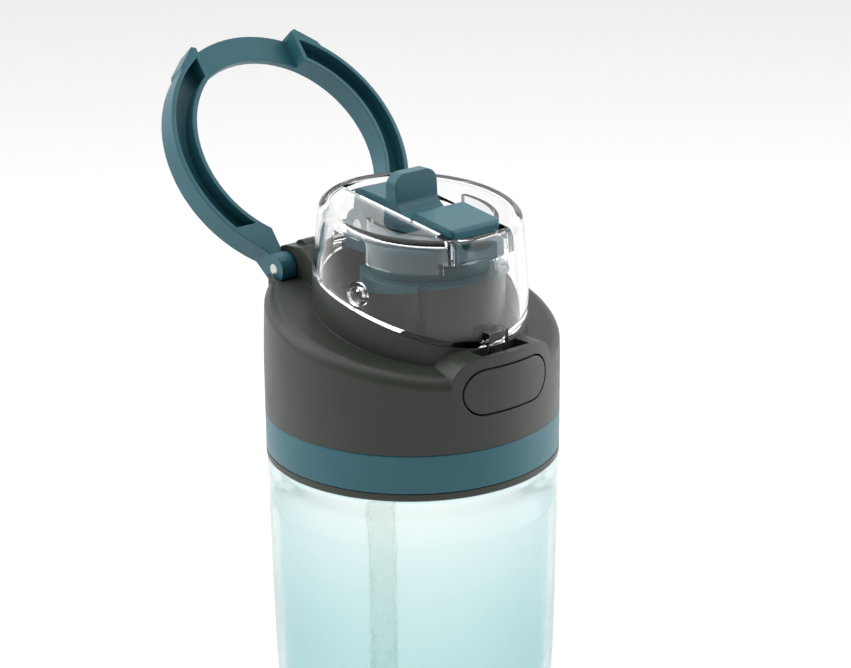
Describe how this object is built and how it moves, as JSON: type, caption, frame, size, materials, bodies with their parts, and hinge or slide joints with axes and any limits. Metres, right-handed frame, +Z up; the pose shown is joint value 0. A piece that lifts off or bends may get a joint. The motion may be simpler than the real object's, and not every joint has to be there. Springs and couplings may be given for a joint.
{
  "type": "straw bottle",
  "caption": "Clear tinted drinking bottle with a screw lid, flip straw spout under a latched clear cover, push-button release and a folding carry loop.",
  "frame": {"origin": "centre of the foot ring, on the surface it stands on", "axes": "+Z up the bottle's axis, -Y towards the push button, +X to the right seen from the button side"},
  "size_m": [0.073, 0.1089, 0.2735],
  "materials": {
    "tinted_clear": "clear moulded plastic with a light aqua tint",
    "clear_plastic": "polished clear plastic",
    "dark_plastic": "satin dark warm grey",
    "blue_plastic": "satin grey-blue",
    "pale_silicone": "translucent matt silicone",
    "straw_plastic": "translucent pale green",
    "steel": "bright drawn wire and pin steel"
  },
  "bodies": {
    "bottle": {"bottle_body": "tinted_clear"},
    "seal": {"lid_seal": "pale_silicone"},
    "lid": {"lid_core": "dark_plastic", "color_band": "blue_plastic", "lid_shell": "dark_plastic", "spout_tower": "dark_plastic", "spout_collar": "blue_plastic", "spout_base": "blue_plastic", "spout_pins": "steel", "spout_seal": "pale_silicone", "straw_adapter": "pale_silicone", "straw": "straw_plastic", "vent_valve": "pale_silicone", "cover_pin": "steel", "cover_spring": "steel", "handle_pins": "steel"},
    "spout": {"spout": "blue_plastic"},
    "cover": {"spout_cover": "clear_plastic"},
    "button": {"release_button": "dark_plastic", "latch_slide": "dark_plastic", "button_spring": "steel"},
    "handle": {"handle_loop": "blue_plastic"}
  },
  "joints": [
    {"name": "lid_rise", "type": "slide", "parent": "bottle", "child": "seal", "axis": [0, 0, 1], "range_m": [0, 0.0125]},
    {"name": "lid_turn", "type": "hinge", "parent": "seal", "child": "lid", "pos_m": [0, 0, 0.19], "axis": [0, 0, 1], "range_deg": [0, 901]},
    {"name": "handle_pivot", "type": "hinge", "parent": "lid", "child": "handle", "pos_m": [0, 0.0272, 0.2247], "axis": [1, 0, 0], "range_deg": [0, 130]},
    {"name": "cover_hinge", "type": "hinge", "parent": "lid", "child": "cover", "pos_m": [0, 0.0254, 0.2286], "axis": [-1, 0, 0], "range_deg": [0, 75]},
    {"name": "spout_pivot", "type": "hinge", "parent": "lid", "child": "spout", "pos_m": [0, 0.0085, 0.2365], "axis": [-1, 0, 0], "range_deg": [0, 68]},
    {"name": "button_press", "type": "slide", "parent": "lid", "child": "button", "axis": [0, 1, 0], "range_m": [0, 0.0024], "stiffness_N_per_m": 400}
  ],
  "couplings": [
    {"joint": "lid_turn", "follows": "lid_rise", "rad_per_m": 1256.6}
  ]
}
